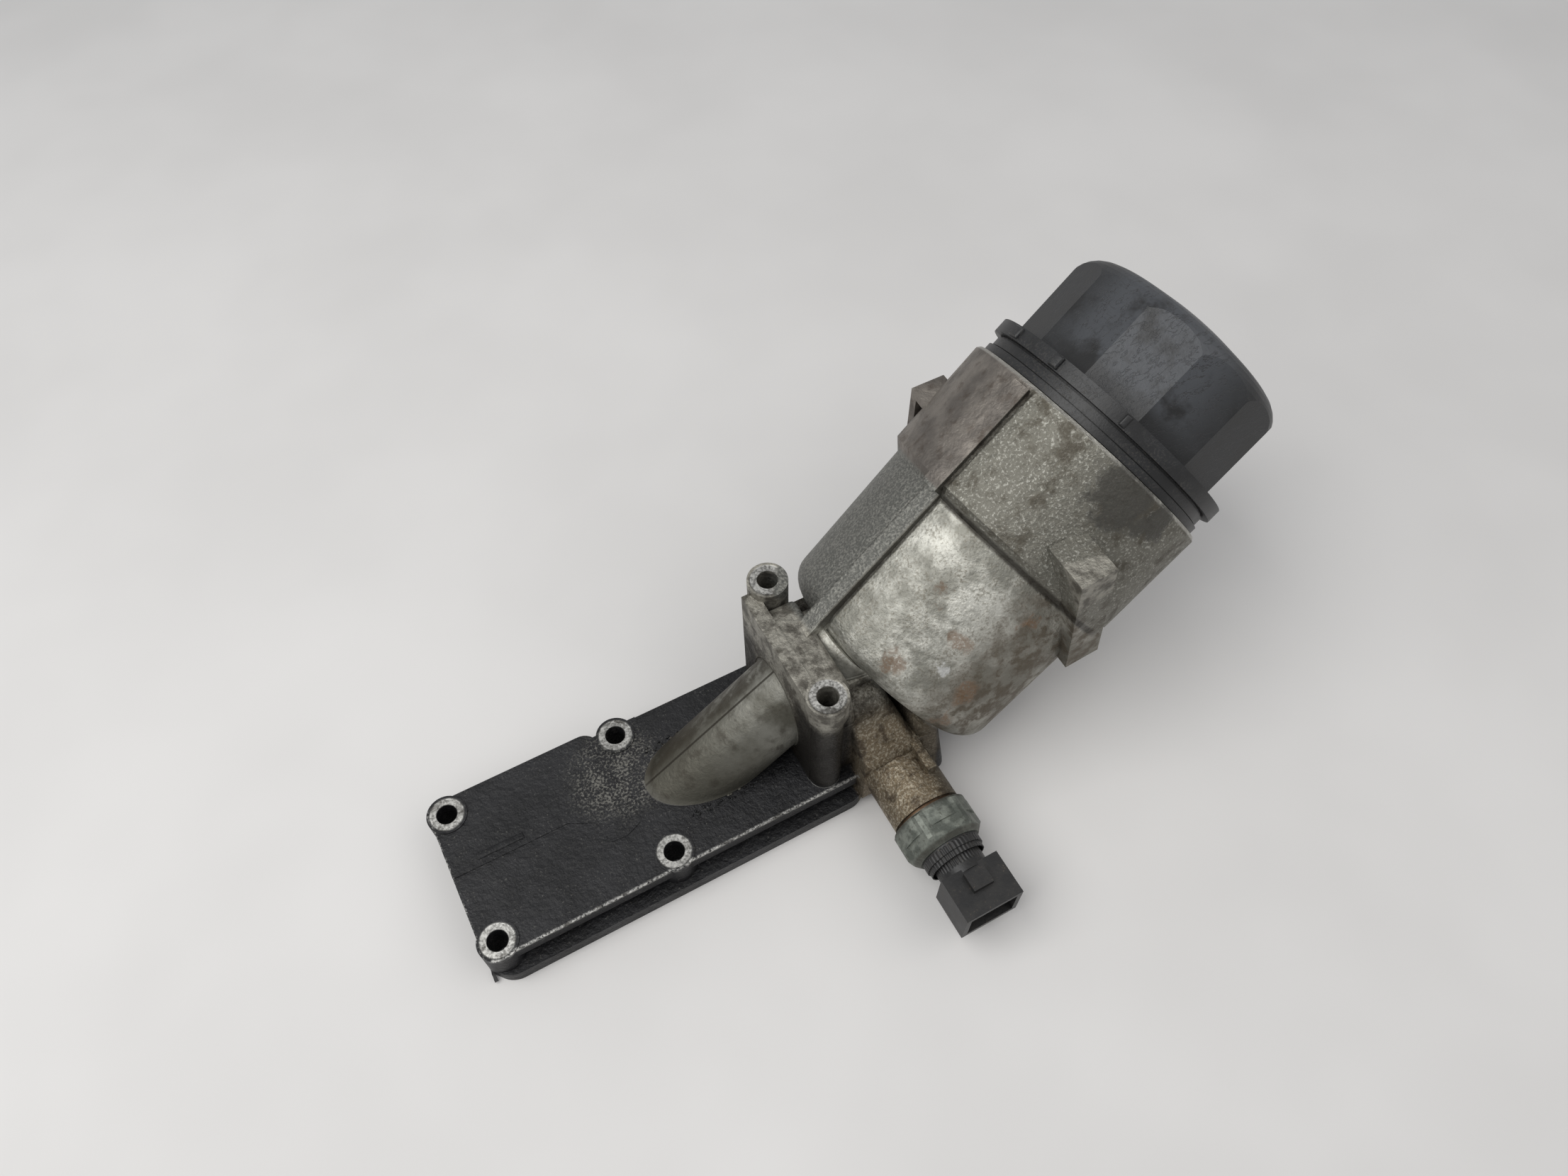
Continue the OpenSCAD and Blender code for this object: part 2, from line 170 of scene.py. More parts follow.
class Paint(Tree):
    """One material, with the place on the object in millimetres as its coordinates."""

    def __init__(self, name):
        self.material = bpy.data.materials.new(name)
        self.material.use_nodes = True
        super().__init__(self.material.node_tree)
        self.shader = next(n for n in self.tree.nodes if n.type == "BSDF_PRINCIPLED")
        self.object = self.node("ShaderNodeTexCoord", {}).outputs["Object"]
        parts = self.node("ShaderNodeSeparateXYZ", {}, self.object)
        self.x, self.y, self.z = [Value(self, parts.outputs[i]) * 1000.0 for i in range(3)]

    def noise(self, size, detail=3.0, rough=0.55, stretch=None):
        """Noise whose features are about size millimetres."""
        vector = self.object
        if stretch:
            vector = self.node("ShaderNodeVectorMath", {"operation": "MULTIPLY"}, self.object, stretch).outputs[0]
        made = self.node("ShaderNodeTexNoise", {}, Vector=vector, Scale=1000.0 / size, Detail=detail, Roughness=rough)
        return Value(self, made.outputs[0])

    def cells(self, size):
        """Distance to the nearest of scattered points about size millimetres apart."""
        made = self.node("ShaderNodeTexVoronoi", {}, Vector=self.object, Scale=1000.0 / size)
        return Value(self, made.outputs["Distance"])

    def mix(self, first, second, share):
        """Colour between two colours."""
        made = self.node("ShaderNodeMix", {"data_type": "RGBA"})
        self.feed(made.inputs["Factor"], share)
        self.feed(made.inputs[6], first)
        self.feed(made.inputs[7], second)
        return made.outputs[2]

    def away(self, spot):
        """Distance from a spot given in millimetres."""
        dx, dy, dz = self.x - spot[0], self.y - spot[1], self.z - spot[2]
        return (dx * dx + dy * dy + dz * dz).power(0.5)

    def spot(self, place, reach, ragged):
        """1 at the place and 0 past its reach, with a ragged edge."""
        return 1.0 - (self.away(place) + ragged).step(reach * 0.55, reach)

    def finish(self, colour, roughness, metallic, height=None, depth=0.0002, strength=1.0):
        self.feed(self.shader.inputs["Base Color"], colour)
        self.feed(self.shader.inputs["Roughness"], roughness)
        self.feed(self.shader.inputs["Metallic"], metallic)
        if height is not None:
            bump = self.node("ShaderNodeBump", {}, Strength=strength, Distance=depth, Height=height)
            self.tree.links.new(bump.outputs[0], self.shader.inputs["Normal"])
        return self.material


class BowlPlace:
    """Where a point of a material is on the bowl: along its middle line, and to the near and upper sides."""

    def __init__(self, p):
        dx, dy, dz = p.x - RIM[0], p.y - RIM[1], p.z - RIM[2]
        self.s = dx * ALONG[0] + dy * ALONG[1] + dz * ALONG[2]
        self.near = dx * NEAR[0] + dy * NEAR[1]
        self.up = dx * RAISED[0] + dy * RAISED[1] + dz * RAISED[2]
        self.r = (self.near * self.near + self.up * self.up).power(0.5)


def cast_aluminium():
    """Die casting: silvery bowl, black oily deck, olive duct, brown stub, rust spots and one oil patch."""
    p = Paint("cast_aluminium")
    p.shader.inputs["Specular IOR Level"].default_value = 0.3
    b = BowlPlace(p)
    grain = p.noise(0.8, 4.0, 0.65)
    peel = p.noise(1.7, 3.0, 0.6)
    cloud = p.noise(16.0, 4.0, 0.6)
    blotch = p.noise(5.0, 5.0, 0.62)
    pits = p.cells(2.2)
    bowl = b.s.step(-98.5, -96.5) * (1.0 - b.r.step(51.0, 52.5)) * p.z.step(17.0, 19.0)
    upper = b.s.step(-40.6, -39.4)
    far = 1.0 - b.near.step(-5.4, -4.6)
    flecks = grain.step(0.52, 0.66)
    bright = (cloud * 0.6 + blotch * 0.4).step(0.42, 0.6)
    silver = p.mix(tone(132, 131, 123), tone(196, 195, 187), bright)
    silver = p.mix(silver, tone(98, 92, 78), (blotch * 0.4 + grain * 0.6).step(0.48, 0.64) * 0.6)
    tan = p.mix(tone(112, 110, 102), tone(178, 177, 169), flecks * 0.7)
    tan = p.mix(tan, tone(76, 71, 62), (blotch * 0.6 + cloud * 0.4).step(0.48, 0.62) * 0.8)
    brown = p.mix(tone(104, 99, 94), tone(132, 126, 119), cloud.step(0.4, 0.62))
    brown = p.mix(brown, tone(76, 66, 58), blotch.step(0.5, 0.72) * 0.7)
    lower_far = p.mix(tone(98, 98, 94), tone(136, 135, 129), grain.step(0.42, 0.64))
    near_low = b.near.step(24.0, 38.0)
    silver = p.mix(silver, tone(92, 84, 72), near_low * (blotch.step(0.4, 0.6) * 0.6 + 0.35))
    bowl_colour = p.mix(p.mix(silver, lower_far, far), p.mix(tan, brown, far), upper)
    lug = p.y.step(-44.0, -40.5)
    bowl_colour = p.mix(bowl_colour, tone(96, 88, 76), (1.0 - lug) * 0.55 * b.s.step(-50.0, -20.0))
    # Painted shade in the corner under the step and along the feet of the ribs, made patchy by the blotch noise
    step_corner_shade = b.s.band(-41.2, 1.6) * b.near.step(-5.0, -3.0)
    rib_foot_shade = b.near.band(-4.3, 1.1) * b.s.step(-96.0, -94.0) * (1.0 - b.s.step(-3.0, -1.0))
    far_rib_foot_shade = b.near.band(-11.0, 1.2) * (1.0 - upper) * 0.5
    crease_shade = step_corner_shade.most(rib_foot_shade * 0.8).most(far_rib_foot_shade) * p.z.step(60.0, 70.0)
    bowl_colour = p.mix(bowl_colour, tone(46, 42, 37), crease_shade * (0.55 + blotch * 0.6).least(1.0))
    # Deck, black and oily, with small glints painted in as light flecks
    deck_glints = grain.step(0.58, 0.68) * blotch.step(0.42, 0.6)
    deck = p.mix(tone(17, 17, 19), tone(30, 30, 32), cloud.step(0.4, 0.65))
    deck = p.mix(deck, tone(118, 116, 110), deck_glints * 0.45)
    scuff = p.spot((24.5, 10.0, DECK), 20.0, (blotch - 0.5) * 22.0)
    deck = p.mix(deck, tone(122, 120, 113), scuff * (grain * 0.7 + blotch * 0.3).step(0.48, 0.6) * 0.7)
    # Duct, wall and bosses
    dx, dz = p.x - DUCT_X, p.z - DECK
    across = dz * math.cos(DUCT_TILT) - dx * math.sin(DUCT_TILT)
    along = dx * math.cos(DUCT_TILT) + dz * math.sin(DUCT_TILT)
    duct_r = (across * across + p.y * p.y).power(0.5)
    duct = (1.0 - duct_r.step(14.4, 14.9)) * duct_r.step(12.5, 13.4) * p.z.step(16.05, 16.5)
    olive = p.mix(tone(84, 82, 74), tone(128, 127, 120), along.step(-6.0, 40.0) * cloud.step(0.3, 0.6))
    olive = p.mix(olive, tone(62, 58, 51), blotch.step(0.5, 0.7) * 0.6)
    olive = p.mix(olive, tone(58, 53, 44), p.y.step(1.6, 5.0) * 0.75 * blotch.step(0.3, 0.5))
    seam = p.y.band(1.6, 0.55) * duct
    olive = p.mix(olive, tone(44, 40, 34), seam * 0.85)
    mast = p.mix(tone(88, 84, 76), tone(150, 147, 138), (p.z.step(30.0, 66.0) * 0.4 + grain * 0.8).step(0.5, 0.8))
    mast = p.mix(mast, tone(48, 43, 37), (blotch.step(0.42, 0.62) * 0.7 + (1.0 - p.z.step(18.0, 50.0)) * 0.55).least(1.0))
    hollow = (1.0 - p.z.step(52.0, 60.0)) * (1.0 - p.y.step(-16.0, -10.0)) * (1.0 - p.x.step(90.5, 92.5))
    hollow = hollow.most((1.0 - p.z.step(40.0, 58.0)) * p.y.step(12.0, 16.0) * 0.8)
    mast = p.mix(mast, tone(36, 34, 32), hollow * 0.9)
    stub = p.x.step(92.0, 94.0) * (1.0 - p.x.step(119.0, 121.0)) * (1.0 - p.y.step(-28.0, -20.0))
    earth = p.mix(tone(112, 100, 82), tone(160, 152, 136), grain.step(0.45, 0.66))
    earth = p.mix(earth, tone(62, 52, 42), blotch.step(0.48, 0.66) * 0.8)
    earth = p.mix(earth, tone(72, 67, 58), p.x.step(109.0, 113.0) * 0.6)
    colour = p.mix(mast, bowl_colour, bowl)
    colour = p.mix(colour, earth, stub * (1.0 - bowl))
    colour = p.mix(colour, olive, duct * (1.0 - bowl))
    low = (1.0 - p.z.step(16.6, 18.5)) * (1.0 - stub)
    colour = p.mix(colour, deck, low * (1.0 - duct))
    # Bright worn edges of the deck, and machined rings round the holes
    edge = (p.y + 28.5).size().most((p.z - DECK).size())
    worn = (1.0 - edge.step(0.35, 1.1)) * grain.step(0.36, 0.52)
    left = (p.x + 35.0).size().most((p.z - DECK).size())
    worn = worn.most((1.0 - left.step(0.2, 0.7)) * grain.step(0.5, 0.6) * 0.7)
    rings = None
    for x, y in LOW_BOLTS + TALL_BOLTS:
        ex, ey = p.x - x, p.y - y
        away = (ex * ex + ey * ey).power(0.5)
        ring = (1.0 - away.step(5.3, 5.9)) * away.step(3.2, 3.5)
        rings = ring if rings is None else rings.most(ring)
    tops = p.z.band(16.4, 0.35).most(p.z.step(68.6, 68.9) * (1.0 - p.z.step(69.3, 69.6)) * (1.0 - bowl))
    machined = rings * tops
    bare = p.mix(tone(112, 111, 108), tone(186, 185, 181), grain.step(0.35, 0.62))
    bare = p.mix(bare, tone(62, 59, 54), blotch.step(0.5, 0.66) * 0.8)
    colour = p.mix(colour, bare, worn * 0.85)
    colour = p.mix(colour, bare, machined)
    rim_edge = b.s.band(-0.3, 1.0) * b.r.step(43.5, 44.5) * (0.35 + grain * 0.9).least(1.0)
    colour = p.mix(colour, tone(206, 204, 197), rim_edge * 0.6 * bowl)
    # Rust, pale flecks and the oil patch, each where the photograph shows it
    wobble = (blotch - 0.5) * 14.0 + (grain - 0.5) * 6.0
    rust = p.spot((126.5, -26.7, 71.2), 4.2, wobble)
    for place, reach in (((107.6, -20.3, 65.9), 5.0), ((124.9, -35.3, 56.0), 5.5), ((146.6, -31.6, 73.9), 3.0),
                         ((128.0, -12.0, 79.0), 4.5), ((118.0, -33.0, 47.0), 5.0)):
        rust = rust.most(p.spot(place, reach, wobble))
    rust = rust * grain.step(0.3, 0.5)
    colour = p.mix(colour, tone(104, 74, 46), rust * 0.6)
    pale = p.spot((119.8, -28.8, 64.6), 2.4, (peel - 0.5) * 6.0).most(p.spot((117.0, -31.0, 52.0), 2.0, (peel - 0.5) * 5.0))
    colour = p.mix(colour, tone(196, 196, 194), pale * 0.8)
    oil = p.spot((178.0, -24.0, 106.5), 14.0, (blotch - 0.5) * 24.0).most(p.spot((185.5, -31.5, 98.5), 8.0, wobble))
    colour = p.mix(colour, tone(50, 48, 44), oil * (0.45 + grain * 0.7).least(0.9))
    inside = 1.0 - b.r.step(38.4, 39.0)
    colour = p.mix(colour, tone(96, 86, 70), inside * b.s.step(-91.0, -89.0) * 0.6)
    greasy = (low * 0.8).most(oil)
    roughness = 0.56 + (blotch - 0.5) * 0.35 - greasy * 0.12 + rust * 0.3 - bright * 0.05
    metallic = (0.74 - low * (1.0 - worn) * (1.0 - machined) * 0.74 - rust * 0.6 - oil * 0.5).most(0.0)
    # The bump height is lowered where the crease shade is painted
    texture = grain * 0.5 + peel * 0.9 + (1.0 - pits) * 0.25 + blotch * 0.5 - crease_shade * 0.5
    texture = texture * (1.0 - machined * 0.85) * (1.0 - duct * 0.55)
    return p.finish(colour, roughness, metallic, texture, 0.0006, 0.75)


def flats_wear_and_sheen(b):
    """The upper flats of the cap, where the scratches gather and a painted sheen is put."""
    return b.up.step(18.0, 32.0) * b.near.step(-22.0, -6.0) * b.s.step(14.0, 20.0)


def moulded_cap():
    """Satin black plastic with scratches, painted sheen patches on its flats, dust in its grooves and painted shade
    over them.
    """
    p = Paint("moulded_cap")
    b = BowlPlace(p)
    fine = p.noise(0.7, 3.0)
    cloud = p.noise(13.0, 4.0, 0.6)
    streak = p.noise(3.0, 4.0, 0.6, (0.35, 1.6, 1.2))
    turn = p.noise(1.2, 2.0, 0.5, (2.4, 0.25, 0.6))
    scratch = streak.band(0.56, 0.025) * (cloud.step(0.42, 0.58) * 0.6 + flats_wear_and_sheen(b) * 0.6).least(1.0)
    scratch = scratch.most(turn.band(0.6, 0.03) * cloud.step(0.5, 0.62) * 0.5)
    colour = p.mix(tone(15, 15, 16), tone(28, 29, 31), cloud.step(0.38, 0.62))
    # Painted sheen: bluish grey patches on the upper flats stand in for reflected light
    flats_sheen = flats_wear_and_sheen(b) * cloud.step(0.34, 0.52)
    colour = p.mix(colour, tone(78, 81, 86), flats_sheen * 0.55)
    colour = p.mix(colour, tone(26, 26, 28), scratch * 0.7)
    groove = 1.0 - b.s.step(6.0, 12.5)
    dust = groove * fine.step(0.5, 0.66) * cloud.step(0.4, 0.55)
    colour = p.mix(colour, tone(92, 88, 82), dust * 0.4)
    # Painted shade darkens the grooves
    colour = p.mix(colour, tone(18, 18, 19), groove * 0.35)
    roughness = 0.33 + cloud * 0.2 + dust * 0.2 - scratch * 0.08
    return p.finish(colour, roughness, 0.0, fine * 0.4 + cloud * 0.4 - scratch * 0.6, 0.0003, 0.4)


def zinc_plate():
    """Sensor body: grey-green zinc, powdery and dark in its corners."""
    p = Paint("zinc_plate")
    grain = p.noise(1.0, 4.0, 0.62)
    blotch = p.noise(4.5, 4.0, 0.6)
    colour = p.mix(tone(86, 90, 84), tone(126, 130, 122), blotch.step(0.38, 0.62))
    colour = p.mix(colour, tone(62, 58, 50), grain.step(0.54, 0.7) * 0.6)
    end = p.y.band(-52.3, 1.4).most(p.y.band(-63.7, 1.2))
    colour = p.mix(colour, tone(58, 54, 47), end * 0.6)
    return p.finish(colour, 0.42 + blotch * 0.25, 0.6, grain + blotch, 0.0003, 0.5)


def plug_black():
    """Connector: black glass-filled plastic with oil film and dusty scuffs."""
    p = Paint("plug_black")
    fine = p.noise(0.9, 4.0, 0.6)
    cloud = p.noise(6.0, 4.0, 0.6)
    turn = (p.x - SENSOR_X).math("ARCTAN2", p.x - SENSOR_X, p.z - SENSOR_Z)
    ribs = (turn * 44.0).sine() * p.y.step(-72.0, -71.0) * (1.0 - p.y.step(-65.5, -65.0))
    colour = p.mix(tone(16, 16, 17), tone(30, 29, 28), cloud.step(0.4, 0.62))
    colour = p.mix(colour, tone(104, 92, 76), fine.step(0.6, 0.7) * cloud.step(0.48, 0.6) * 0.5)
    return p.finish(colour, 0.34 + cloud * 0.25, 0.0, fine * 0.3 + ribs * 0.6, 0.0004, 0.6)


def seal_rubber():
    """Black rubber, matt and faintly mottled, shiny where oil has stayed."""
    p = Paint("seal_rubber")
    cloud = p.noise(3.0, 4.0)
    fine = p.noise(0.5, 3.0)
    colour = p.mix(tone(22, 22, 23), tone(42, 41, 40), cloud.step(0.4, 0.6))
    return p.finish(colour, 0.5 + cloud * 0.3, 0.0, fine, 0.0001, 0.3)


def filter_paper():
    """Used pleated paper: cream, soaked brown in patches, with fibres."""
    p = Paint("filter_paper")
    fibre = p.noise(0.8, 5.0, 0.7, (1.0, 1.0, 3.0))
    soak = p.noise(18.0, 3.0)
    colour = p.mix(tone(196, 172, 120), tone(120, 88, 46), soak.step(0.35, 0.65))
    colour = p.mix(colour, tone(214, 196, 152), fibre.step(0.55, 0.7) * 0.4)
    return p.finish(colour, 0.85 + fibre * 0.1, 0.0, fibre, 0.0002, 0.4)


def inner_plastic():
    """Plain moulded plastic of the element's inner pieces, stained by oil."""
    p = Paint("inner_plastic")
    stain = p.noise(9.0, 4.0)
    fine = p.noise(0.6, 2.0)
    colour = p.mix(tone(66, 62, 56), tone(38, 35, 31), stain.step(0.35, 0.65))
    return p.finish(colour, 0.4 + stain * 0.25, 0.0, fine, 0.0001, 0.25)


def drawn_metal(name, light, dark, rough):
    """Drawn or turned metal with fine lines and a thin dark film."""
    p = Paint(name)
    lines = p.noise(0.6, 3.0, 0.6, (0.2, 1.0, 2.0))
    film = p.noise(4.0, 4.0)
    colour = p.mix(light, dark, film.step(0.45, 0.7) * 0.7)
    return p.finish(colour, rough + film * 0.15, 1.0, lines, 0.0001, 0.25)


def table_top():
    """Pale painted table with faint mottling."""
    p = Paint("table_top")
    cloud = p.noise(140.0, 3.0)
    colour = p.mix(tone(212, 210, 208), tone(219, 217, 215), cloud.step(0.3, 0.7))
    return p.finish(colour, 0.75 + cloud * 0.05, 0.0)


CAST = cast_aluminium()
CAP = moulded_cap()
ZINC = zinc_plate()
PLUG = plug_black()
RUBBER = seal_rubber()
PAPER = filter_paper()
INNER = inner_plastic()
SPRING = drawn_metal("spring_steel", tone(170, 168, 164), tone(88, 82, 74), 0.25)
COPPER = drawn_metal("washer_copper", tone(96, 78, 62), tone(58, 46, 38), 0.45)
TERMINAL = drawn_metal("terminal_brass", tone(206, 180, 120), tone(120, 98, 60), 0.25)
FINISH = {"housing": CAST, "flange_seal": RUBBER, "cap": CAP, "cap_o_ring": RUBBER, "cap_stem": CAP,
          "stem_o_ring": RUBBER, "bypass_seat": SPRING, "bypass_poppet": SPRING, "bypass_spring": SPRING,
          "filter_paper": PAPER, "filter_core": INNER, "filter_top_cap": INNER, "filter_bottom_cap": INNER,
          "filter_bottom_seal": RUBBER, "outlet_tube": SPRING, "anti_drain_membrane": RUBBER, "sensor_body": ZINC,
          "sensor_washer": COPPER, "sensor_connector": PLUG, "sensor_terminals": TERMINAL}
for node_name, material in FINISH.items():
    for material_slot in NODES[node_name].material_slots:
        material_slot.material = material


def alone():
    """Deselects everything, so that the next operator acts on its own piece only."""
    bpy.ops.object.select_all(action="DESELECT")


def settle(name, body, material):
    """Puts the active piece's place into its mesh, and gives it its name, body, slot and material."""
    piece = bpy.context.object
    bpy.ops.object.transform_apply(location=True, rotation=True, scale=True)
    piece.name = name
    piece.data.name = name
    piece.data.materials.clear()
    piece.data.materials.append(material)
    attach(piece, body)
    return piece


def soften(width, segments=2):
    """Rounds the active piece's edges and applies the modifier."""
    piece = bpy.context.object
    bevel = piece.modifiers.new("soft", "BEVEL")
    bevel.width = width
    bevel.segments = segments
    bpy.ops.object.modifier_apply(modifier="soft")
    bpy.ops.object.shade_smooth_by_angle(angle=math.radians(40))


def on_bowl(s, angle, radius):
    """Place in metres on the bowl's outside, and its turn: angle 0 is the near side and 90 the top."""
    c, d = math.cos(math.radians(angle)), math.sin(math.radians(angle))
    out = Vector([NEAR[i] * c + RAISED[i] * d for i in range(3)])
    along = Vector(ALONG)
    place = (Vector(RIM) + along * s + out * radius) / 1000
    side = along.cross(out)
    turn = Matrix((out, side, along)).transposed().to_quaternion()
    return place, turn


def cap_mark(name, s, angle, radius, size, notch):
    """Small moulded mark on the cap's wide flange, with a stepped outer face."""
    place, turn = on_bowl(s, angle, radius)
    alone()
    bpy.ops.mesh.primitive_cube_add(size=1, location=place)
    piece = bpy.context.object
    piece.rotation_mode = "QUATERNION"
    piece.rotation_quaternion = turn
    piece.scale = [v / 1000 for v in size]
    bpy.ops.object.transform_apply(location=False, rotation=False, scale=True)
    bpy.ops.object.mode_set(mode="EDIT")
    bpy.ops.mesh.select_all(action="DESELECT")
    bpy.ops.object.mode_set(mode="OBJECT")
    for face in piece.data.polygons:
        face.select = face.normal.x > 0.9
    bpy.ops.object.mode_set(mode="EDIT")
    bpy.ops.mesh.inset(thickness=0.0004, depth=notch / 1000)
    bpy.ops.object.mode_set(mode="OBJECT")
    soften(0.00015)
    return settle(name, "screw_cap", CAP)


def deck_strip():
    """Faint raised strip on the deck, with sloping sides."""
    alone()
    bpy.ops.mesh.primitive_cube_add(size=1, location=(-0.018, 0.005, 0.01605), rotation=(0, 0, math.radians(-0.4)))
    piece = bpy.context.object
    piece.scale = (0.0155, 0.0022, 0.0003)
    bpy.ops.object.transform_apply(location=False, rotation=False, scale=True)
    bpy.ops.object.mode_set(mode="EDIT")
    bpy.ops.mesh.select_all(action="DESELECT")
    bpy.ops.object.mode_set(mode="OBJECT")
    for face in piece.data.polygons:
        face.select = face.normal.z > 0.9
    bpy.ops.object.mode_set(mode="EDIT")
    bpy.ops.mesh.inset(thickness=0.0005, depth=0.00022)
    bpy.ops.object.mode_set(mode="OBJECT")
    soften(0.0001)
    return settle("deck_strip", "base", CAST)


def seam_ridge(name, places, width, height):
    """Thin parting ridge that runs through the places, extruded from one end to the other."""
    alone()
    start = Vector(places[0])
    bpy.ops.mesh.primitive_plane_add(size=1, location=start / 1000, rotation=(0, math.radians(90), 0))
    piece = bpy.context.object
    piece.scale = (height / 1000, width / 1000, 1)
    bpy.ops.object.transform_apply(location=False, rotation=True, scale=True)
    bpy.ops.object.mode_set(mode="EDIT")
    bpy.ops.mesh.select_all(action="SELECT")
    for before, after in zip(places, places[1:]):
        move = (Vector(after) - Vector(before)) / 1000
        bpy.ops.mesh.extrude_region_move(TRANSFORM_OT_translate={"value": move})
    bpy.ops.mesh.select_all(action="SELECT")
    bpy.ops.mesh.normals_make_consistent(inside=False)
    bpy.ops.object.mode_set(mode="OBJECT")
    bpy.ops.object.shade_smooth_by_angle(angle=math.radians(40))
    return settle(name, "base", CAST)


def cast_block(name, low, high, top_low, top_high, width):
    """Cast lump: a block whose upper face is drawn in to its own corners, then rounded."""
    middle = [(a + b) / 2000 for a, b in zip(low, high)]
    alone()
    bpy.ops.mesh.primitive_cube_add(size=1, location=middle)
    piece = bpy.context.object
    piece.scale = [(b - a) / 1000 for a, b in zip(low, high)]
    bpy.ops.object.transform_apply(location=True, rotation=False, scale=True)
    for vertex in piece.data.vertices:
        if vertex.co.z > middle[2]:
            vertex.co.x = (top_low[0] if vertex.co.x < middle[0] else top_high[0]) / 1000
            vertex.co.y = (top_low[1] if vertex.co.y < middle[1] else top_high[1]) / 1000
    soften(width / 1000, 4)
    return settle(name, "base", CAST)


def spring_coil():
    """Bypass spring as a real coil."""
    bottom, top, turns, wire, radius = -2.35, 33.8, 6, 1.0, 3.8
    alone()
    bpy.ops.mesh.primitive_circle_add(vertices=12, radius=wire / 2000, location=(radius / 1000, 0, 0),
                                      rotation=(math.radians(90), 0, 0))
    bpy.ops.object.transform_apply(location=True, rotation=True, scale=True)
    piece = bpy.context.object
    coil = piece.modifiers.new("coil", "SCREW")
    coil.screw_offset = (top - bottom - wire) / turns / 1000
    coil.iterations = turns
    coil.steps = 40
    bpy.ops.object.modifier_apply(modifier="coil")
    bpy.ops.object.shade_smooth()
    piece.rotation_mode = "QUATERNION"
    piece.rotation_quaternion = Vector((0, 0, 1)).rotation_difference(Vector(ALONG))
    piece.location = (Vector(RIM) + Vector(ALONG) * (bottom + wire / 2)) / 1000
    piece = settle("spring_coil", "screw_cap", SPRING)
    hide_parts("bypass_spring")
    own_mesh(piece)


def neck_serrations():
    """Ring of fine moulded ribs on the connector's neck, next to the sensor's collar."""
    ribs = 36
    low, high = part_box("sensor_connector")
    alone()
    bpy.ops.mesh.primitive_cylinder_add(vertices=2 * ribs, radius=0.0091, depth=0.0042, end_fill_type="NOTHING",
                                        location=(SENSOR_X / 1000, -0.0672, SENSOR_Z / 1000),
                                        rotation=(math.radians(90), 0, 0))
    piece = bpy.context.object
    bpy.ops.object.mode_set(mode="EDIT")
    bpy.ops.mesh.select_all(action="DESELECT")
    bpy.ops.object.mode_set(mode="OBJECT")
    for face in piece.data.polygons:
        face.select = face.index % 2 == 0
    bpy.ops.object.mode_set(mode="EDIT")
    bpy.ops.mesh.extrude_region_shrink_fatten(TRANSFORM_OT_shrink_fatten={"value": 0.00035})
    bpy.ops.object.mode_set(mode="OBJECT")
    bpy.ops.object.shade_smooth_by_angle(angle=math.radians(30))
    return settle("neck_serrations", "base", PLUG)


def torn_seal():
    """Ragged strip of old seal that sticks out under the flange's left end."""
    alone()
    bpy.ops.mesh.primitive_grid_add(x_subdivisions=3, y_subdivisions=60, size=1, location=(-0.03545, -0.004, 0.0018))
    piece = bpy.context.object
    piece.scale = (0.0010, 0.050, 1)
    bpy.ops.object.transform_apply(location=False, rotation=False, scale=True)
    for vertex in piece.data.vertices:
        wave = math.sin(vertex.co.y * 2900) + math.sin(vertex.co.y * 1730 + 1.3) + math.sin(vertex.co.y * 5100 + 0.4)
        if vertex.co.x < 0:
            vertex.co.x = max(vertex.co.x + 0.00011 * wave, -0.0005)
        vertex.co.z += 0.00018 * math.sin(vertex.co.y * 2100 + vertex.co.x * 900)
    solid = piece.modifiers.new("thick", "SOLIDIFY")
    solid.thickness = 0.0009
    bpy.ops.object.modifier_apply(modifier="thick")
    bpy.ops.object.shade_smooth_by_angle(angle=math.radians(30))
    return settle("torn_seal", "base", RUBBER)


def caked_dirt(name, places, size):
    """Small lumps of dried dirt, one shaped and then copied to each place."""
    alone()
    bpy.ops.mesh.primitive_ico_sphere_add(subdivisions=2, radius=size / 1000, location=[v / 1000 for v in places[0]])
    first = bpy.context.object
    for vertex in first.data.vertices:
        lump = 1 + 0.3 * math.sin(vertex.co.x * 4100 + vertex.co.y * 2700) + 0.2 * math.sin(vertex.co.z * 5300)
        vertex.co *= lump
    bpy.ops.object.shade_smooth()
    lumps = [first]
    for i, place in enumerate(places[1:], 1):
        alone()
        first.select_set(True)
        bpy.context.view_layer.objects.active = first
        bpy.ops.object.duplicate(linked=False)
        lump = bpy.context.object
        lump.location = [v / 1000 for v in place]
        lump.rotation_euler = (i * 1.7, i * 2.3, i * 0.9)
        lump.scale = (0.55 + 0.45 * math.sin(i * 1.9) ** 2, 0.6 + 0.4 * math.cos(i * 2.3) ** 2, 0.5)
        lumps.append(lump)
    alone()
    for lump in lumps:
        lump.select_set(True)
    bpy.context.view_layer.objects.active = first
    bpy.ops.object.join()
    return settle(name, "base", CAST)


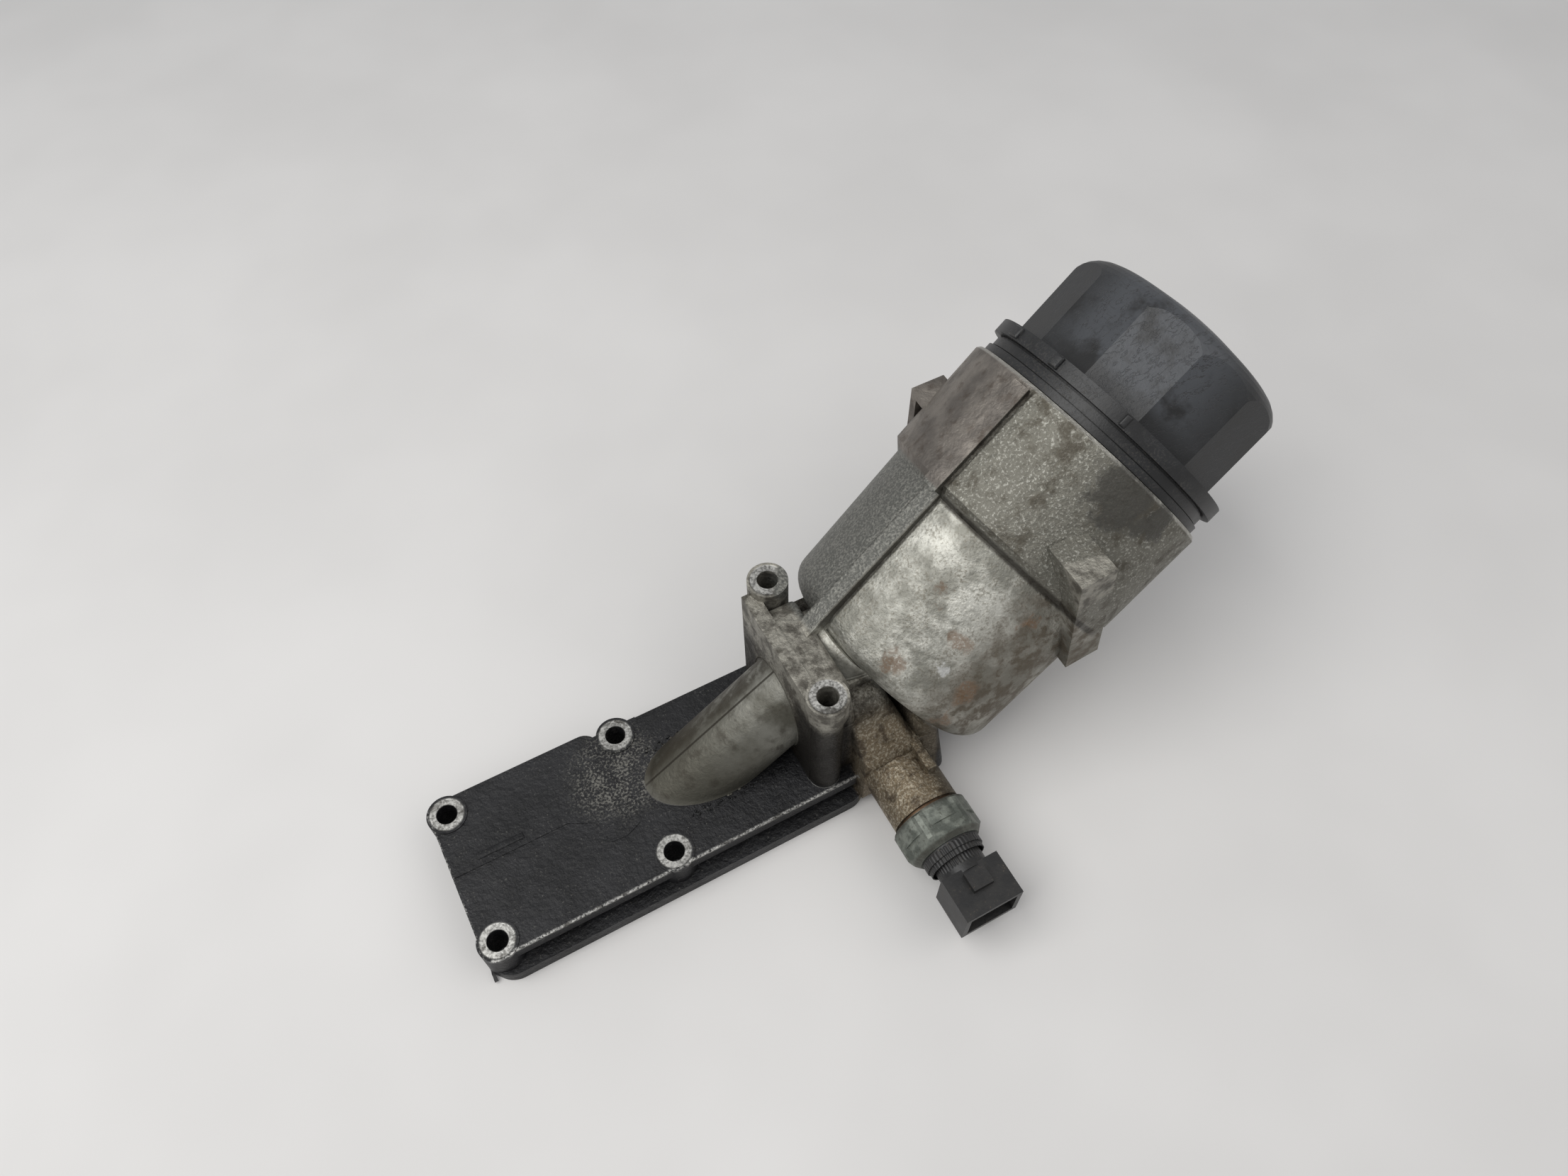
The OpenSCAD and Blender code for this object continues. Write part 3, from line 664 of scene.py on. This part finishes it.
cap_mark("cap_flange_bump", 9.0, 124.0, 44.6, (1.2, 5.0, 3.6), 0.5)
cap_mark("cap_flange_lug", 9.0, 97.0, 44.7, (1.4, 3.4, 4.0), 0.6)
cap_mark("cap_flange_mark", 9.0, 63.0, 44.6, (1.0, 2.2, 3.8), 0.4)
deck_strip()
seam_ridge("deck_seam", [(-34.8, 2.0, 16.0), (-10.0, 1.9, 16.0), (3.5, 2.0, 16.0), (11.5, -2.1, 16.0),
                         (13.3, -10.4, 16.0), (18.7, -10.9, 16.0), (24.1, -8.7, 16.0)], 0.5, 0.5)
neck_serrations()
spring_coil()
cast_block("boss_web", (79.5, -18.3, 53.0), (96.0, 16.5, 64.3), (79.5, -18.3), (93.0, 15.0), 1.6)
cast_block("boss_cheek", (88.6, -23.5, 44.0), (94.5, -12.0, 63.0), (88.4, -22.0), (92.5, -13.0), 1.4)
cast_block("neck_swell", (93.0, -35.0, 28.5), (113.0, -8.0, 50.0), (92.0, -19.5), (106.0, -9.0), 3.0)
cast_block("bowl_skirt", (112.2, -36.0, 6.0), (124.0, -12.0, 36.0), (112.2, -31.0), (121.0, -14.0), 3.0)
torn_seal()
crumbs = []
for i in range(46):
    t = i / 45
    crumbs.append((36 + 44 * t + 1.5 * math.sin(i * 2.1), 14.6 + 1.2 * math.sin(i * 3.7) - 2.0 * (1 - t), 16.2))
    crumbs.append((40 + 36 * t + 1.3 * math.sin(i * 1.3), -14.9 + 1.0 * math.sin(i * 2.9), 16.2))
caked_dirt("duct_foot_dirt", crumbs, 0.55)

# Floor, light and camera
alone()
bpy.ops.mesh.primitive_plane_add(size=6, location=(0.1, 0, -0.00002))
floor = bpy.context.object
floor.name = "table_top"
floor.data.materials.append(table_top())

world = bpy.data.worlds.new("room")
bpy.context.scene.world = world
world.use_nodes = True
room = Tree(world.node_tree)
rays = room.node("ShaderNodeLightPath", {})
direct = Value(room, rays.outputs["Is Camera Ray"])
mirrored = Value(room, rays.outputs["Is Glossy Ray"])
passed = Value(room, rays.outputs["Is Transmission Ray"])
soft_light = room.node("ShaderNodeBackground", {}, ROOM_TINT, 0.42)
backdrop = room.node("ShaderNodeBackground", {}, BACKDROP_TINT, 1.0)
choice = room.node("ShaderNodeMixShader", {}, direct.most(mirrored).most(passed), soft_light.outputs[0], backdrop.outputs[0])
room.feed(world.node_tree.nodes["World Output"].inputs["Surface"], choice.outputs[0])


def area_light(name, place, aim, width, power, colour):
    """Soft square light at a place, turned to its aim."""
    light = bpy.data.lights.new(name, "AREA")
    light.size = width
    light.energy = power
    light.color = colour
    holder = bpy.data.objects.new(name, light)
    bpy.context.scene.collection.objects.link(holder)
    holder.location = place
    holder.rotation_euler = (Vector(aim) - Vector(place)).to_track_quat("-Z", "Y").to_euler()
    return holder


area_light("window", (-0.42, 0.02, 0.85), (0.12, 0, 0.04), 0.75, 6.5, (1.0, 0.995, 0.98))
area_light("room_light", (0.6, -0.45, 0.9), (0.12, 0, 0.03), 0.9, 2.6, (1.0, 0.97, 0.94))

camera = bpy.data.cameras.new("photo_camera")
camera.sensor_width = 36
camera.lens = LENS
camera.clip_start = 0.01
viewer = bpy.data.objects.new("photo_camera", camera)
bpy.context.scene.collection.objects.link(viewer)
turned = Matrix((CAMERA_RIGHT, CAMERA_UP, [-v for v in CAMERA_FORWARD])).transposed()
viewer.matrix_world = Matrix.Translation(CAMERA_PLACE) @ turned.to_4x4()
bpy.context.scene.camera = viewer
bpy.context.scene.view_settings.view_transform = "Standard"
